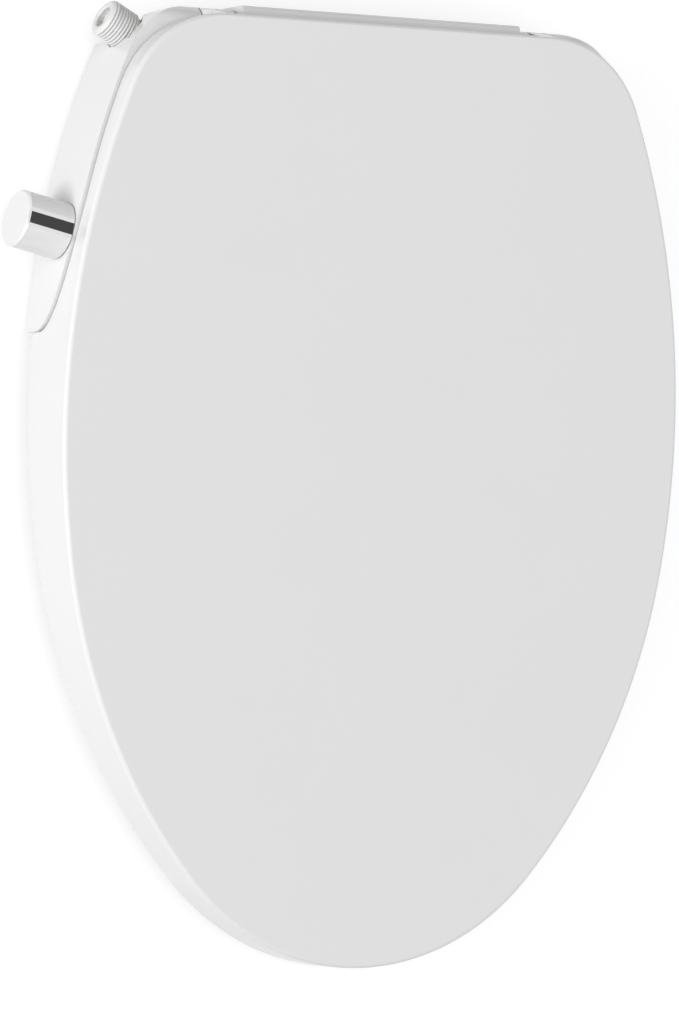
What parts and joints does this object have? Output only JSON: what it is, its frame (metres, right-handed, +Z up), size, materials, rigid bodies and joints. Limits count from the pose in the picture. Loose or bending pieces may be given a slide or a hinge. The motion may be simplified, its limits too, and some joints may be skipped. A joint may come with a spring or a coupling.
{
  "type": "bidet toilet seat",
  "caption": "Slim elongated toilet seat and lid over a water-powered bidet housing, with a side control knob and a threaded water inlet.",
  "frame": {"origin": "midpoint of the two mounting slots, on the underside of the mounting bracket, which lies on the bowl's rim", "axes": "+Z up out of the lid, -Y towards the rounded front tip, +Y towards the hinges, knob and water inlet on the -X side"},
  "size_m": [0.3967, 0.5023, 0.0619],
  "materials": {
    "white_gloss": "glossy moulded",
    "white_base": "satin moulded",
    "grey_rubber": "matte",
    "black_rubber": "matte",
    "black_gloss": "glossy",
    "steel": "satin",
    "dark_plastic": "satin",
    "ceramic": "ground ceramic",
    "brass": "turned",
    "clear_hose": "translucent hose",
    "nozzle_white": "glossy",
    "nozzle_steel": "polished"
  },
  "bodies": {
    "housing": {"housing_cover": "white_gloss", "housing_base": "white_base", "base_feet": "grey_rubber", "cover_screws": "steel", "mounting_bracket": "white_base", "lid_damper": "dark_plastic", "seat_damper": "dark_plastic", "inlet_fitting": "white_base", "inlet_screws": "steel", "inlet_filter": "steel", "inlet_hose": "clear_hose", "front_nozzle_hose": "clear_hose", "rear_nozzle_hose": "clear_hose", "hose_clips": "steel", "valve_body": "white_base", "valve_cap": "dark_plastic", "fixed_disc": "ceramic", "nozzle_block": "white_base", "nozzle_block_cap": "white_base", "inner_screws": "steel", "gate_pin": "steel", "release_spring": "steel", "rear_return_spring": "steel", "front_return_spring": "steel"},
    "seat": {"seat_ring": "white_gloss", "seat_bumpers": "grey_rubber", "seat_damper_shaft": "steel", "seat_ear_bush": "dark_plastic"},
    "lid": {"lid": "white_gloss", "lid_bumpers": "grey_rubber", "lid_damper_shaft": "steel", "lid_ear_bush": "dark_plastic"},
    "knob": {"knob": "white_gloss", "knob_strip": "black_gloss", "valve_stem": "brass", "stem_seal": "black_rubber", "turning_disc": "ceramic"},
    "rear_nozzle": {"rear_nozzle": "nozzle_white", "rear_nozzle_tip": "nozzle_steel", "rear_nozzle_seal": "black_rubber"},
    "front_nozzle": {"front_nozzle": "nozzle_white", "front_nozzle_tip": "nozzle_steel", "front_nozzle_seal": "black_rubber"},
    "gate": {"nozzle_gate": "white_base"},
    "button": {"release_button": "white_gloss"}
  },
  "joints": [
    {"name": "seat_hinge", "type": "hinge", "parent": "housing", "child": "seat", "pos_m": [0, 0.02, 0.0375], "axis": [1, 0, 0], "range_deg": [-105, 0]},
    {"name": "lid_hinge", "type": "hinge", "parent": "seat", "child": "lid", "pos_m": [0, 0.02, 0.0375], "axis": [-1, 0, 0], "range_deg": [0, 105]},
    {"name": "knob_turn", "type": "hinge", "parent": "housing", "child": "knob", "pos_m": [-0.17982, -0.091, 0.029], "axis": [-0.9763, 0.2164, 0], "range_deg": [-90, 90]},
    {"name": "rear_nozzle_slide", "type": "slide", "parent": "housing", "child": "rear_nozzle", "axis": [0, -0.9563, -0.2924], "range_m": [0, 0.034], "stiffness_N_per_m": 30, "springref_m": -0.02, "deforming": ["rear_return_spring"]},
    {"name": "front_nozzle_slide", "type": "slide", "parent": "housing", "child": "front_nozzle", "axis": [0, -0.9563, -0.2924], "range_m": [0, 0.034], "stiffness_N_per_m": 30, "springref_m": -0.02, "deforming": ["front_return_spring"]},
    {"name": "gate_hinge", "type": "hinge", "parent": "housing", "child": "gate", "pos_m": [0, -0.09, 0.0295], "axis": [-1, 0, 0], "range_deg": [0, 75]},
    {"name": "release_press", "type": "slide", "parent": "housing", "child": "button", "axis": [-1, 0, 0], "range_m": [0, 0.0035], "stiffness_N_per_m": 300, "springref_m": -0.003, "deforming": ["release_spring"]}
  ]
}
